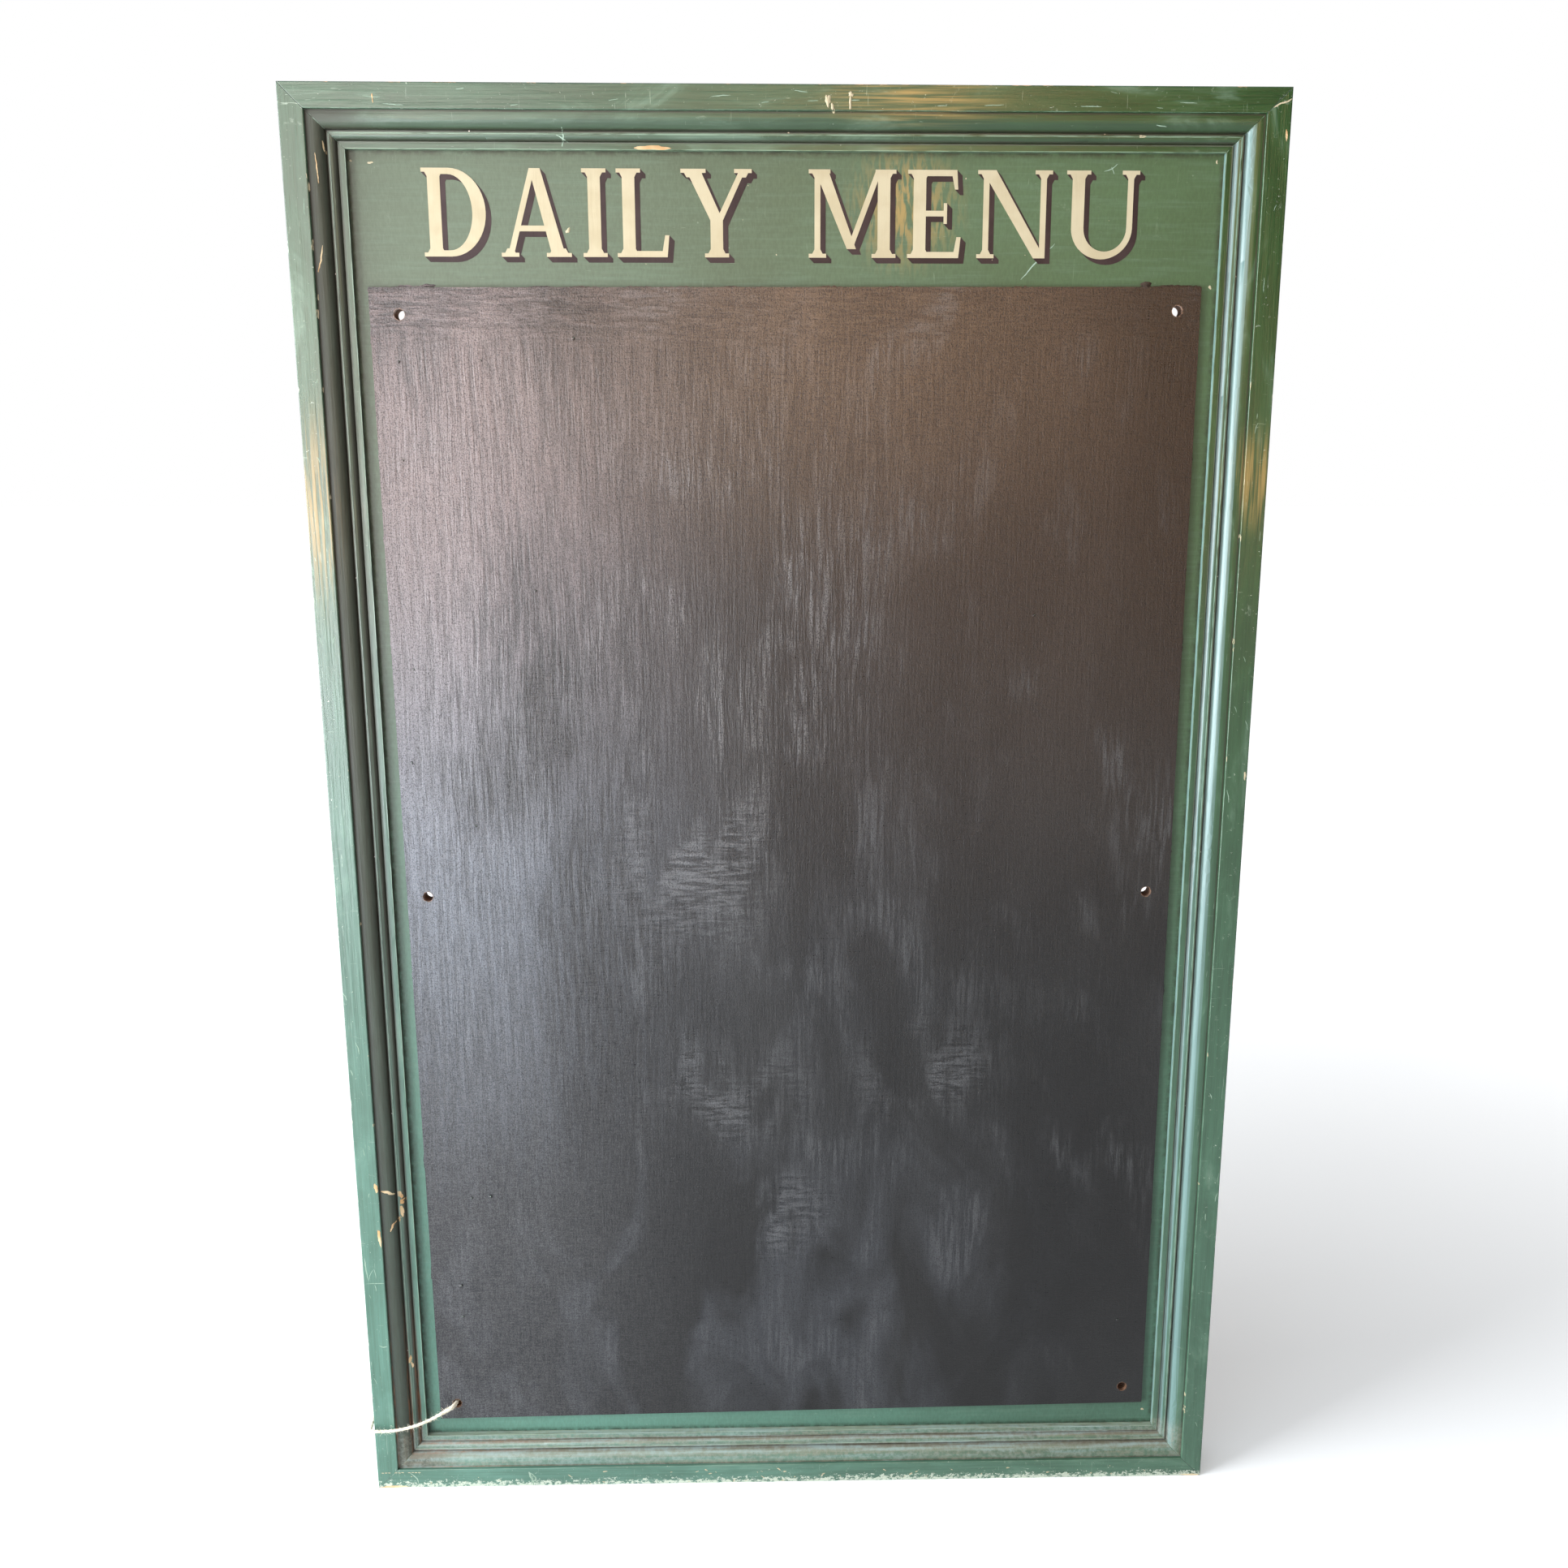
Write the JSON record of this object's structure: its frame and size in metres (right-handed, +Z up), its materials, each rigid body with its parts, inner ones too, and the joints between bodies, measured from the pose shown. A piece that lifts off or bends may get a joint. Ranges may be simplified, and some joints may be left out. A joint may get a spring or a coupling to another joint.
{
  "type": "framed menu chalkboard",
  "caption": "Tall framed menu chalkboard with a moulded green wooden frame, a header panel and a black writing sheet with wall-screw holes.",
  "frame": {"origin": "middle of the bottom edge, halfway through the frame's depth, on the surface that the board stands on", "axes": "+Z up along the board's height, +X to the viewer's right along its width, -Y out of its front face"},
  "size_m": [0.7834, 0.0625, 1.22],
  "materials": {
    "frame_paint": "semi-gloss green brush paint over softwood, worn to bare wood on the arrises",
    "moulding_paint": "semi-gloss green brush paint over a moulded softwood section, dusty on its upward faces",
    "panel_paint": "semi-gloss green paint on plywood, bare at the back",
    "chalkboard_black": "satin black chalkboard paint, vertical brush strokes",
    "lettering_cream": "cream signwriter's paint",
    "lettering_shade": "dark signwriter's paint",
    "bare_softwood": "unpainted softwood",
    "nail_steel": "dull bright steel wire",
    "screw_steel": "zinc plated steel, dulled",
    "twine": "natural jute and cotton twine, frayed"
  },
  "bodies": {
    "root": {"frame_top_rail": "frame_paint", "frame_bottom_rail": "frame_paint", "frame_left_stile": "frame_paint", "frame_right_stile": "frame_paint", "moulding_top": "moulding_paint", "moulding_bottom": "moulding_paint", "moulding_left": "moulding_paint", "moulding_right": "moulding_paint", "back_panel": "panel_paint", "chalkboard_sheet": "chalkboard_black", "stop_batten_top": "bare_softwood", "stop_batten_bottom": "bare_softwood", "stop_batten_left": "bare_softwood", "stop_batten_right": "bare_softwood", "corner_block_top_left": "bare_softwood", "corner_block_top_right": "bare_softwood", "corner_block_bottom_left": "bare_softwood", "corner_block_bottom_right": "bare_softwood", "mitre_nails": "nail_steel", "moulding_pins": "nail_steel", "batten_screws": "screw_steel", "sheet_pins": "chalkboard_black", "tie_twine": "twine", "twine_knot": "twine"}
  },
  "joints": []
}
